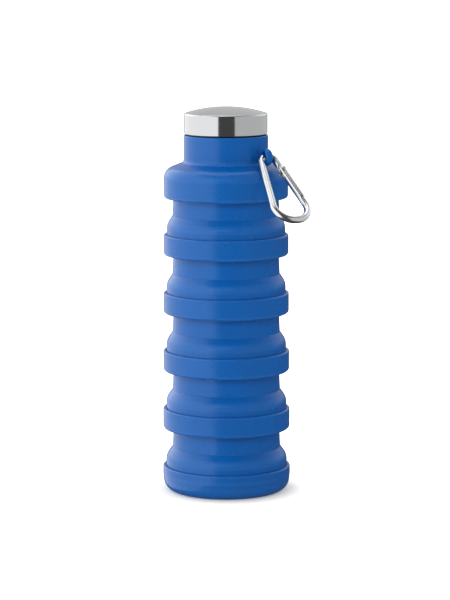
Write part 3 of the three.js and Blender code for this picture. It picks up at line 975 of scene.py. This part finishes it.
@dataclass
class Shoulder:
    """The shoulder with its sleeve and neck, and the eye that carries the carabiner.

    Attributes:
        shop: The workshop.
        walls: Shared sizes.
        seam: The mould's parting line.
        level: Its sleeve's level.
        corner: Corner radius between the cone and the cuff.
        cuff_to_cone: Cuff line to the corner of the cone.
        cone_height: Height of the cone.
        neck_radius: Outer radius of the neck.
        neck_wall: Its wall.
        neck_foot: Fillet between the neck and the cone.
        eye_twist: Angle from +X to the axis of the eye's hole.
        eye_radius: Outer radius of the eye.
        hole_radius: Radius of its hole.
        eye_wall: Its thickness.
        bead: Rounding of its edges.
    """

    shop: Workshop
    walls: Walls
    seam: PartingLine
    level: int
    corner: float = 7.0 * MM
    cuff_to_cone: float = 16.3 * MM
    cone_height: float = 4.6 * MM
    neck_radius: float = 24.4 * MM
    neck_wall: float = 2.1 * MM
    neck_foot: float = 2.4 * MM
    eye_twist: float = math.radians(27)
    eye_radius: float = 5.0 * MM
    hole_radius: float = 3.0 * MM
    eye_wall: float = 4.3 * MM
    bead: float = 1.75 * MM

    def build(self) -> None:
        """Make the shoulder and its eye."""
        w = self.walls
        low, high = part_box("shoulder_neck")
        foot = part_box("band_1")[1].z + w.travel + 0.1 * MM
        radius = -low.x
        cone = foot + self.cuff_to_cone
        neck = cone + self.cone_height
        bore = self.neck_radius - self.neck_wall
        inside = radius - w.cuff
        sleeve_bore = w.bore(self.level)
        middle = (sleeve_bore, (low.z + foot) / 2)
        line = rounded([
            middle, (sleeve_bore, foot + w.web, w.inner_edge), (inside, foot + w.web, w.inner_edge),
            (inside, cone - w.cuff / 2, self.corner - w.cuff), (bore, neck - w.cuff, w.inner_edge),
            (bore, high.z, w.inner_edge), (self.neck_radius, high.z, w.inner_edge),
            (self.neck_radius, neck, self.neck_foot), (radius, cone, self.corner), (radius, foot, w.foot_edge),
            *w.sleeve(self.level, low.z, foot), middle,
        ])
        shell = turned("shoulder_skin", refined(line, 3 * MM)[:-1], seam=self.seam)
        self.shop.mount(shell, "shoulder", Look.SILICONE, "shoulder_neck")
        self.shop.mount(self.eye(), "shoulder", Look.SILICONE)

    def eye(self) -> bpy.types.Object:
        """The carrying eye: a ring on a root let into the neck, with a fillet where they meet.

        It is the union of a turned ring, a root and a thin patch just under the neck's surface, remeshed
        finely and smoothed, so that every inside corner becomes a soft fillet.

        Returns:
            The piece.
        """
        centre, _ = self.shop.joint("carabiner_swing")
        axis = Vector((math.cos(self.eye_twist), math.sin(self.eye_twist), 0))
        outward = Vector((axis.y, -axis.x, 0))
        turn = Matrix((outward, Vector((0, 0, 1)), -axis)).transposed().to_4x4()
        place = Matrix.Translation(centre) @ turn
        half, hole, rim = self.eye_wall / 2, self.hole_radius, self.eye_radius
        line = rounded([(hole, 0), (hole, half, self.bead * 0.7), (rim, half, self.bead),
                        (rim, -half, self.bead), (hole, -half, self.bead * 0.7), (hole, 0)])
        ring = placed(turned("carry_eye", line[:-1], 96), place)
        reach = math.hypot(centre.x, centre.y) - self.neck_radius
        root = placed(self.root(reach + 2.4 * MM, half), place)
        patch = self.neck_patch(math.atan2(centre.y, centre.x), centre.z)
        combined(ring, [root, patch], "UNION")
        mould = ring.modifiers.new("mould", "REMESH")
        mould.mode, mould.voxel_size = "VOXEL", 0.14 * MM
        soft = ring.modifiers.new("soft", "SMOOTH")
        soft.factor, soft.iterations = 0.6, 14
        settled(ring)
        ring.data.shade_smooth()
        return ring

    def root(self, reach: float, half: float) -> bpy.types.Object:
        """The eye's root, drawn with x outwards and y up: a block that widens towards the neck.

        Its section is a rounded rectangle, scaled along the way from just outside the hole to inside the neck.

        Args:
            reach: Hole centre to the root's inner end.
            half: Half of the eye's thickness.

        Returns:
            The piece.
        """
        share = np.linspace(0, 1, 12)
        start = self.hole_radius + 0.5 * MM
        path = -(start + share * (reach - start))[:, None] * X_AXIS
        outline = circle(1, 32)
        section = outline / (np.abs(outline) ** 4).sum(axis=1, keepdims=True) ** 0.25
        height = self.eye_radius * (0.88 + 0.14 * share)
        thick = half * (0.92 + 0.4 * share)
        return swept("eye_root", path, Y_AXIS, Z_AXIS, section, np.stack([height, thick], axis=1))

    def neck_patch(self, azimuth: float, height: float) -> bpy.types.Object:
        """A thin piece of the neck's wall behind the eye, just under its surface.

        Args:
            azimuth: Angle of its middle from +X.
            height: Height of its middle.

        Returns:
            The piece.
        """
        half_turn = 12 * MM / self.neck_radius
        out = around(azimuth + np.linspace(-half_turn, half_turn, 40))
        path = (self.neck_radius - 0.53 * MM) * out + height * Z_AXIS
        flat = np.array([[0.5, -5.6], [0.5, 7.5], [-0.5, 7.5], [-0.5, -5.6]]) * MM
        return swept("eye_patch", path, out, Z_AXIS, flat)


# -------------------- cap and mouth
@dataclass(frozen=True)
class Thread:
    """The screw thread of the mouth and the cap: one turn of a blunt ridge.

    Attributes:
        pitch: Rise in one turn.
        rise: Flange to the middle of its first end.
        seat_gap: Clearance between the neck and the flange on it.
        flange: Thickness of the flange.
        half_section: Upper half of the ridge from its crest to its root, in millimetres.
        inner_crest: Height of the cap's ridge, cut a little lower than the mouth's.
    """

    pitch: float = 4.0 * MM
    rise: float = 1.2 * MM
    seat_gap: float = 0.3 * MM
    flange: float = 0.6 * MM
    half_section: tuple[tuple[float, float], ...] = ((1.2, 0.1), (1.1, 0.45), (0.6, 0.75), (-0.5, 0.95))
    inner_crest: float = 1.18 * MM

    @property
    def seat(self) -> float:
        """Height of the flange's underside."""
        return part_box("shoulder_neck")[1].z + self.seat_gap

    @property
    def spout(self) -> float:
        """Height of the flange's top, where the spout begins."""
        return self.seat + self.flange

    def section(self, inwards: bool) -> np.ndarray:
        """The ridge's outline: x out from the axis, so that an inward ridge's is negative, and y along it."""
        upper = np.array(self.half_section) * MM
        whole = np.vstack([upper[::-1] * (1, -1), upper])
        if inwards:
            whole = np.stack([-np.minimum(whole[:, 0], self.inner_crest), whole[:, 1]], axis=1)
        return whole


@dataclass
class Mouth:
    """The hard mouth in the silicone neck: collar, flange, spout and screw thread.

    Attributes:
        shop: The workshop.
        thread: The screw thread.
        collar_radius: Outer radius of the collar inside the neck.
        mouth_radius: Bore.
        root_radius: Outer radius of the spout between threads.
        edge: Rounding of the edges.
    """

    shop: Workshop
    thread: Thread = field(default_factory=Thread)
    collar_radius: float = 22.0 * MM
    mouth_radius: float = 17.5 * MM
    root_radius: float = 20.4 * MM
    edge: float = 0.3 * MM

    def build(self) -> None:
        """Make the mouth and its thread."""
        low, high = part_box("neck_insert")
        seat, spout, e = self.thread.seat, self.thread.spout, self.edge
        middle = (self.mouth_radius, (low.z + high.z) / 2)
        line = rounded([
            middle, (self.mouth_radius, low.z, e), (self.collar_radius, low.z, e),
            (self.collar_radius, seat, e), (high.x, seat, e), (high.x, spout, e), (self.root_radius, spout, e),
            (self.root_radius, high.z, 2 * e), (self.mouth_radius, high.z, 2 * e), middle,
        ])
        body = turned("mouth_insert", refined(line, 2 * MM)[:-1], 144)
        self.shop.mount(body, "shoulder", Look.INSERT, "neck_insert")
        thread = ridge("mouth_thread", self.root_radius, spout + self.thread.rise, self.thread.pitch,
                       self.thread.section(inwards=False))
        self.shop.mount(thread, "shoulder", Look.INSERT)


@dataclass
class Cap:
    """The screw cap: a brushed steel shell over a plastic liner, and the gasket under it.

    Attributes:
        shop: The workshop.
        thread: The screw thread.
        dome: How far the dome rises over its rim.
        seated: How much lower than the frame's shell the steel sits.
        steel: Thickness of the shell.
        rim: Rounding between the dome and the side.
        hem: Rounding of the lower edge.
        liner_bore: Liner's inner radius between threads.
        liner_roof: Thickness of the liner over the gasket.
        liner_edge: Rounding of the liner's lower edges.
        gasket_bore: Gasket's inner radius.
        gasket_edge: Rounding of its edges.
    """

    shop: Workshop
    thread: Thread = field(default_factory=Thread)
    dome: float = 3.8 * MM
    seated: float = 0.35 * MM
    steel: float = 0.6 * MM
    rim: float = 1.0 * MM
    hem: float = 0.28 * MM
    liner_bore: float = 22.05 * MM
    liner_roof: float = 1.4 * MM
    liner_edge: float = 0.3 * MM
    gasket_bore: float = 17.5 * MM
    gasket_edge: float = 0.4 * MM

    def build(self) -> None:
        """Make the shell, the liner and the gasket."""
        self.shell()
        self.liner()
        self.gasket()

    @staticmethod
    def arc(radius: float, rim: float, rise: float, count: int = 26) -> list[Corner]:
        """Dome profile: an arc of a ball of radius (r^2 + rise^2) / 2 rise.

        Args:
            radius: Radius of the rim.
            rim: Its height.
            rise: Rim to the top.
            count: Number of points.

        Returns:
            Points from the axis to near the rim.
        """
        ball = (radius**2 + rise**2) / (2 * rise)
        reach = np.linspace(0, radius * 0.965, count)
        return [(float(r), float(rim + rise - ball + math.sqrt(ball**2 - r**2))) for r in reach]

    def shell(self) -> None:
        """The steel shell: dome, crisp rim, plain side and a folded lower edge."""
        low, high = (corner - Vector((0, 0, self.seated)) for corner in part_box("cap_shell"))
        radius, rim = high.x, high.z - self.dome
        inner = radius - self.steel
        roof = rim - self.steel / 2
        line = rounded([
            *self.arc(radius, rim, self.dome), (radius, rim, self.rim), (radius, low.z, self.hem),
            (inner, low.z, self.hem * 0.8), (inner, roof, 0.2 * MM),
            *reversed(self.arc(inner, roof, self.dome - self.steel / 2)),
        ])
        cap = turned("cap_steel_shell", refined(line, 1.5 * MM), 256)
        self.shop.mount(cap, "cap", Look.CAP, "cap_shell")

    def liner(self) -> None:
        """The plastic liner that carries the thread."""
        low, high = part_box("cap_liner")
        foot, roof = low.z + 0.3 * MM, high.z - self.liner_roof
        e = self.liner_edge
        line = rounded([
            (0, roof), (self.liner_bore, roof, 0.5 * MM), (self.liner_bore, foot, e), (high.x, foot, e),
            (high.x, roof, e), (self.liner_bore, high.z, 2 * e), (0, high.z),
        ])
        body = turned("cap_liner_body", refined(line, 2 * MM), 144)
        self.shop.mount(body, "cap", Look.LINER, "cap_liner")
        thread = ridge("cap_thread", self.liner_bore, self.thread.spout + self.thread.rise, self.thread.pitch,
                       self.thread.section(inwards=True), first=0.5)
        self.shop.mount(thread, "cap", Look.LINER)

    def gasket(self) -> None:
        """The flat ring that seals on the mouth."""
        low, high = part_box("cap_gasket")
        inner, e = self.gasket_bore, self.gasket_edge
        middle = (inner, (low.z + high.z) / 2)
        line = rounded([middle, (inner, low.z, e), (high.x, low.z, e), (high.x, high.z, e), (inner, high.z, e),
                        middle])
        ring = turned("cap_gasket_ring", refined(line, 1.5 * MM)[:-1], 144)
        self.shop.mount(ring, "gasket", Look.GASKET, "cap_gasket")


# -------------------- carabiner
@dataclass
class Carabiner:
    """The snap carabiner: a bent rod, a sprung gate, its rivet and its spring.

    It is drawn flat and then placed: x across the frame, y from the end in the eye towards the wide end, and z
    through it. Its place comes from the frame's joints.

    Attributes:
        shop: The workshop.
        rod: Rod radius.
        length: Between the centre lines of its two ends.
        top_width: Between centre lines at the narrow end.
        foot_width: Between centre lines at the wide end.
        top_bend: Centre line radius of the narrow bends.
        foot_bend: Centre line radius of the wide bends.
        hinge_depth: End of the frame to the rivet.
        nose_reach: The gate's free end to the far end of its side.
        gate: Gate radius.
        gate_offset: The gate's centre line outside the rod's.
        tongue: Half thickness of the flattened rod end.
        tongue_length: How far from the rivet it stays that thin.
        tongue_taper: Length over which it grows to the full rod.
        nose_gap: Between the gate's free end and the nose.
        heel: How far the gate reaches behind the rivet.
        slant: Slope of the oblique joint at the nose.
    """

    shop: Workshop
    rod: float = 2.03 * MM
    length: float = 48.43 * MM
    top_width: float = 8.3 * MM
    foot_width: float = 24.25 * MM
    top_bend: float = 4.0 * MM
    foot_bend: float = 10.0 * MM
    hinge_depth: float = 11.0 * MM
    nose_reach: float = 15.26 * MM
    gate: float = 2.3 * MM
    gate_offset: float = 0.4 * MM
    tongue: float = 0.8 * MM
    tongue_length: float = 1.6 * MM
    tongue_taper: float = 2.2 * MM
    nose_gap: float = 0.3 * MM
    heel: float = 2.35 * MM
    slant: float = 0.55

    def build(self) -> None:
        """Make the four pieces."""
        self.body()
        self.gate_piece()
        self.rivet()
        self.spring()

    @property
    def place(self) -> Matrix:
        """From the flat drawing to the frame: x is the eye's axis, z the rivet's, y from both."""
        centre, swing = self.shop.joint("carabiner_swing")
        through = self.shop.joint("gate_open")[1]
        turn = Matrix((-swing, through.cross(-swing), through)).transposed().to_4x4()
        return Matrix.Translation(centre) @ turn

    @property
    def side(self) -> np.ndarray:
        """Unit vector along the gate's side, from the narrow end to the wide end."""
        way = np.array([(self.foot_width - self.top_width) / 2, self.length])
        return way / np.linalg.norm(way)

    @property
    def pin(self) -> np.ndarray:
        """The rivet's centre in the flat drawing."""
        lean = (self.foot_width - self.top_width) / 2 / self.length
        return np.array([self.top_width / 2 + lean * self.hinge_depth, self.hinge_depth])

    @property
    def gate_length(self) -> float:
        """Rivet to the gate's free end."""
        whole = math.hypot((self.foot_width - self.top_width) / 2, self.length)
        return whole * (1 - self.hinge_depth / self.length) - self.nose_reach

    @property
    def on_pin(self) -> Matrix:
        """From a drawing about the rivet, with y along the gate and x outwards, to the frame."""
        along, pin = self.side, self.pin
        turn = Matrix(((along[1], along[0], 0, pin[0]), (-along[0], along[1], 0, pin[1]), (0, 0, 1, 0),
                       (0, 0, 0, 1)))
        return self.place @ turn

    def centre_line(self) -> np.ndarray:
        """The rod's centre line: round the corners of a trapezium, finely over the tongue's round end.

        Returns:
            (n, 2) points of the flat drawing, from just past the rivet to the nose.
        """
        half_top, half_foot = self.top_width / 2, self.foot_width / 2
        nose = self.pin + self.side * (self.gate_length + self.nose_gap)
        start = self.pin - self.side * self.rod
        end = self.pin + self.side * self.rod * 0.995
        line = rounded([tuple(end), (half_top, 0, self.top_bend), (-half_top, 0, self.top_bend),
                        (-half_foot, self.length, self.foot_bend), (half_foot, self.length, self.foot_bend),
                        tuple(nose)], math.radians(5))
        line = refined(line, 0.6 * MM)[:, :2]
        fine = refined(np.stack([line[0], start, start + (start - line[0])]), 0.12 * MM)
        beyond = np.linalg.norm(line - line[0], axis=1) > np.linalg.norm(fine[-1] - line[0]) + 0.3 * MM
        beyond[len(beyond) // 2:] = True
        return np.vstack([fine, line[beyond]])

    def body(self) -> None:
        """The bent rod, flattened to a rounded tongue at the rivet and cut obliquely at the nose.

        Over the tongue the section's height falls to the tongue's thickness, and its width follows a half
        circle about the rivet.
        """
        line = self.centre_line()
        step = np.gradient(line, axis=0)
        step /= np.linalg.norm(step, axis=1)[:, None]
        level = np.zeros(len(line))
        sides = np.column_stack([step[:, 1], -step[:, 0], level])
        back = (self.pin - line) @ self.side
        walked = np.concatenate([[0], np.cumsum(np.linalg.norm(np.diff(line, axis=0), axis=1))])
        near = walked < self.hinge_depth
        fall = np.clip((back - self.tongue_length) / self.tongue_taper, 0, 1)
        fall = fall * fall * (3 - 2 * fall)
        round_end = np.sqrt(np.clip(1 - (np.minimum(back, 0) / self.rod) ** 2, 0.01, 1))
        thin = self.tongue / self.rod
        width = np.where(near, round_end * (1 + 0.1 * (1 - fall)), 1.0)
        thick = np.where(near, thin + (1 - thin) * fall, 1.0)
        left = np.linalg.norm(line - line[-1], axis=1)
        oblique = np.where(near, 0, np.clip(1 - left / (2.5 * MM), 0, 1)) * self.slant
        rod = swept("carabiner_rod", np.column_stack([line, level]), sides, Z_AXIS, circle(self.rod, 40),
                    np.stack([width, thick], axis=1), oblique)
        self.shop.mount(placed(rod, self.place), "carabiner", Look.CLIP, "carabiner_body")

    def gate_piece(self) -> None:
        """The gate: a tube with a fork for the tongue, a window on its inner side and an oblique free end."""
        span = self.gate_length + self.heel
        share = np.concatenate([[0, 0.004, 0.012, 0.024], np.linspace(0.05, 0.92, 12),
                                np.linspace(0.93, 1, 9)])
        path = self.gate_offset * X_AXIS + (span * share - self.heel)[:, None] * Y_AXIS
        start = np.clip(share * span / (0.6 * MM), 0, 1)
        finish = np.clip((1 - share) * span / (1.6 * MM), 0, 1)
        scale = (0.8 + 0.2 * np.sqrt(1 - (1 - start) ** 2)) * (0.86 + 0.14 * np.sqrt(1 - (1 - finish) ** 2))
        oblique = np.clip((share - 0.9) / 0.1, 0, 1) * self.slant
        tube = swept("carabiner_gate_tube", path, X_AXIS, Z_AXIS, circle(self.gate, 48),
                     np.stack([scale, scale], axis=1), -oblique)
        square = np.array([[-1, -1], [1, -1], [1, 1], [-1, 1]])
        fork = self.cutter("fork", 0, (-5, 2.6), square * (4, 1.1))
        window = self.cutter("window", -1.9, (1.5, 6.2), square * (2.1, 1.05))
        hollow = self.cutter("hollow", 0.4, (2.2, 11.9), circle(1.25, 24))
        combined(tube, [fork, window, hollow], "DIFFERENCE")
        softened(tube, 0.13 * MM)
        self.shop.mount(placed(tube, self.on_pin), "gate", Look.CLIP, "carabiner_gate")

    @staticmethod
    def cutter(name: str, x: float, y: tuple[float, float], section: np.ndarray) -> bpy.types.Object:
        """A straight bar along y between two places, to cut with. All sizes are in millimetres."""
        path = np.array([[x, end, 0] for end in y]) * MM
        return swept(name, path, X_AXIS, Z_AXIS, section * MM)

    def rivet(self) -> None:
        """A pin with two low domed heads, turned about the rivet's axis."""
        reach = self.gate + 0.3 * MM
        head, rise, shank = 1.5 * MM, 0.5 * MM, 0.8 * MM
        line = rounded([
            (0, -reach - rise), (head * 0.6, -reach - rise * 0.86, 0.5 * MM),
            (head, -reach - rise * 0.3, 0.2 * MM), (head, -reach, 0.1 * MM), (shank, -reach, 0.05 * MM),
            (shank, reach, 0.05 * MM),
            (head, reach, 0.1 * MM), (head, reach + rise * 0.3, 0.2 * MM),
            (head * 0.6, reach + rise * 0.86, 0.5 * MM), (0, reach + rise),
        ], support=0.03 * MM)
        pin = turned("gate_rivet_pin", refined(line, 0.5 * MM), 40)
        self.shop.mount(placed(pin, self.on_pin), "carabiner", Look.CLIP, "gate_rivet")

    def spring(self) -> None:
        """A coil of wire inside the gate: the centre line is a helix along the gate."""
        radius, wire, turns, length = 0.75 * MM, 0.2 * MM, 6, 9 * MM
        share = np.linspace(0, 1, turns * 20)
        out = around(2 * math.pi * turns * share)[:, [0, 2, 1]]
        way = self.rod + 0.6 * MM + length * share
        path = radius * out + self.gate_offset * X_AXIS + way[:, None] * Y_AXIS
        coil = swept("gate_spring_coil", path, out, Y_AXIS, circle(wire, 10))
        self.shop.mount(placed(coil, self.on_pin), "gate", Look.SPRING, "gate_spring")


# -------------------- studio
@dataclass(frozen=True)
class Softbox:
    """A flat light panel.

    Attributes:
        name: Its name.
        centre: Its middle, in metres.
        target: The point it faces.
        size: Width and height.
        radiance: Brightness of its surface.
        mirrored: Whether shiny surfaces show it.
        only: The objects that it lights, if not all.
    """

    name: str
    centre: tuple[float, float, float]
    target: tuple[float, float, float]
    size: tuple[float, float]
    radiance: float
    mirrored: bool = True
    only: tuple[bpy.types.Object, ...] = ()

    def build(self) -> None:
        """Add the light. Its power is radiance x pi x area, the flux of an even panel."""
        light = bpy.data.lights.new(self.name, "AREA")
        light.shape, light.size, light.size_y = "RECTANGLE", *self.size
        light.energy = self.radiance * math.pi * self.size[0] * self.size[1]
        lamp = linked(self.name, light)
        lamp.location = self.centre
        lamp.visible_glossy = self.mirrored
        if self.only:
            lit = bpy.data.collections.new(self.name + "_lights")
            for piece in self.only:
                lit.objects.link(piece)
            lamp.light_linking.receiver_collection = lit
        aim = Vector(self.target) - Vector(self.centre)
        lamp.rotation_euler = aim.to_track_quat("-Z", "Y").to_euler()


@dataclass(frozen=True)
class Studio:
    """Camera, floor and lights.

    Attributes:
        distance: Camera to the bottle's axis, along Y.
        height: Camera height.
        aim: Height that the camera looks at.
        aside: Sideways place of the camera and its aim.
        span: Height of the view at the axis.
        roll: Turn of the camera about its own view, in radians.
        key: Radiance of the bright panel at the left.
        fill: Radiance of the dimmer panel at the right, which silicone doesn't mirror.
        strip: Radiance of the panel that the metal mirrors in its place.
        front: Radiance of the front panel.
        room: Radiance of the room in front of the bottle.
        wall: Radiance of the room behind it.
    """

    distance: float = 1.50
    height: float = 0.3318
    aim: float = 0.1120
    aside: float = -0.0007
    span: float = 0.3496
    roll: float = math.radians(-0.12)
    key: float = 1.22
    fill: float = 0.74
    strip: float = 0.60
    front: float = 4.2
    room: float = 0.08
    wall: float = 0.66

    def build(self, metal: tuple[bpy.types.Object, ...]) -> None:
        """Make the camera, the floor, the lights and the world.

        Args:
            metal: The pieces with a metal finish.
        """
        self.camera()
        self.floor()
        for box in (
            Softbox("left_panel", (-0.70, 0.10, 0.40), (0, 0.10, 0.40), (3.84, 1.8), self.key),
            Softbox("right_panel", (0.80, 0.12, 0.65), (0, 0.12, 0.65), (3.76, 1.3), self.fill, False),
            Softbox("right_strip", (0.81, 0.12, 0.40), (0, 0.12, 0.40), (3.76, 1.8), self.strip, True, metal),
            Softbox("top_panel", (-0.15, 0.25, 1.45), (0, 0.1, 0), (1.1, 1.1), 1.15),
            Softbox("front_panel", (-0.2, -1.7, 1.1), (0, 0, 0.1), (1.2, 0.8), self.front, False),
        ):
            box.build()
        self.world()

    def camera(self) -> None:
        """A long lens, turned down a little to the middle of the bottle."""
        lens = bpy.data.cameras.new("camera")
        eye = Vector((self.aside, -self.distance, self.height))
        aim = Vector((self.aside, 0, self.aim))
        lens.sensor_fit = "VERTICAL"
        lens.sensor_height = 36.0
        lens.lens = 18.0 / (self.span / 2 / (aim - eye).length)
        lens.clip_end = 20.0
        camera = linked("camera", lens)
        camera.location = eye
        turn = (aim - eye).to_track_quat("-Z", "Y") @ Quaternion((0, 0, 1), self.roll)
        camera.rotation_euler = turn.to_euler()
        bpy.context.scene.camera = camera

    def floor(self) -> None:
        """A wide white floor that glows to the camera, with a painted shadow round the base: the glow is low
        within a few centimetres of the axis.
        """
        half = 6.0
        mesh = bpy.data.meshes.new("floor")
        mesh.from_pydata([(-half, -half, 0), (half, -half, 0), (half, half, 0), (-half, half, 0)], [],
                         [(0, 1, 2, 3)])
        floor = linked("floor", mesh)
        material, nodes = node_material("paper_floor")
        place = nodes.add("TexCoord").outputs["Object"]
        away = nodes.add("VectorMath", {0: place}, operation="LENGTH").outputs["Value"]
        # Painted shadow: the camera-ray glow is 0.24 next to the base and rises to 1.04 by 64 mm from the axis,
        # darkening the floor round the bottle.
        clear_of_painted_shadow = nodes.ramp(away, 0.038, 0.064)
        glow_and_painted_shadow = nodes.math("MULTIPLY_ADD", clear_of_painted_shadow, 0.8, 0.24)
        shown = nodes.math("MULTIPLY", nodes.add("LightPath").outputs["Is Camera Ray"], glow_and_painted_shadow)
        paper = nodes.add("BsdfPrincipled", {"Base Color": (0.9, 0.87, 0.82, 1), "Roughness": 1.0,
                                             "Specular IOR Level": 0.0, "Emission Color": (1, 1, 1, 1),
                                             "Emission Strength": shown})
        nodes.add("OutputMaterial", {"Surface": paper.outputs[0]})
        mesh.materials.append(material)
        floor.visible_glossy = False
        floor.visible_shadow = False

    def world(self) -> None:
        """White to the camera; to everything else a room that is dark in front and lighter behind."""
        world = bpy.data.worlds.new("room")
        world.use_nodes = True
        nodes = Nodes(world.node_tree)
        way = nodes.add("SeparateXYZ", {0: nodes.add("TexCoord").outputs["Generated"]})
        high = nodes.ramp(way.outputs[2], -0.02, 0.12)
        behind = nodes.math("MULTIPLY", nodes.ramp(way.outputs[1], -0.1, 0.6), high)
        grey = nodes.math("MULTIPLY_ADD", behind, self.wall - self.room, self.room)
        room = nodes.add("CombineColor", {0: grey, 1: grey, 2: grey}).outputs[0]
        seen = nodes.add("LightPath").outputs["Is Camera Ray"]
        colour = nodes.mix(seen, room, (1, 1, 1, 1))
        back = nodes.add("Background", {"Color": colour, "Strength": 1.0})
        nodes.add("OutputWorld", {"Surface": back.outputs[0]})
        bpy.context.scene.world = world
        bpy.context.scene.view_settings.view_transform = "Standard"


def spread(box: tuple[Vector, Vector]) -> list[list[float]]:
    """A box's corners as plain lists."""
    return [[float(v) for v in corner] for corner in box]


def main() -> None:
    """Build the bottle round its frame, then the studio."""
    logging.basicConfig(level=logging.INFO, format="%(name)s %(message)s")
    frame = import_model()
    shop = Workshop(frame["joints"])
    for assembly in (FoldingBody(shop), Mouth(shop), Cap(shop), Carabiner(shop)):
        assembly.build()
    Studio().build(shop.metal)


if __name__ == "__main__":
    main()
